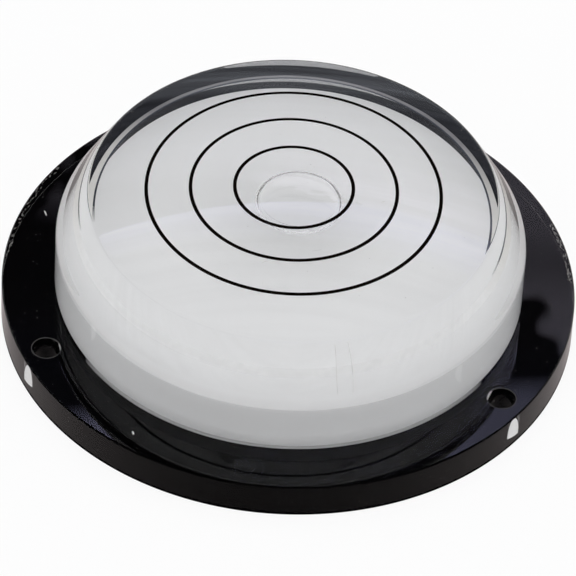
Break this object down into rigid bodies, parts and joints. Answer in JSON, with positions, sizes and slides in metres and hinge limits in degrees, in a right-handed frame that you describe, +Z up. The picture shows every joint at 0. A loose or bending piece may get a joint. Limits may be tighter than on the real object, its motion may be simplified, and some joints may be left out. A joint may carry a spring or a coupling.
{
  "type": "bullseye level",
  "caption": "Round bubble level with a clear domed body, target ring lines over a white floor, and a screw flange; shows tilt in every direction.",
  "frame": {"origin": "middle of the underside, where the level stands", "axes": "+Z up through the middle of the bubble window; +Y towards one of the three screw holes"},
  "size_m": [0.1, 0.1, 0.0295],
  "materials": {
    "clear_acrylic": "polished clear acrylic",
    "clear_liquid": "clear liquid",
    "white_plug": "white satin acrylic",
    "seal_rubber": "soft matt rubber",
    "black_backing": "black bonded sheet",
    "line_ink": "black filled line"
  },
  "bodies": {
    "root": {"clear_body": "clear_acrylic", "damping_liquid": "clear_liquid", "base_plug": "white_plug", "seal_ring": "seal_rubber", "backing_disc": "black_backing", "inner_line": "line_ink", "middle_line": "line_ink", "outer_line": "line_ink"}
  },
  "joints": []
}
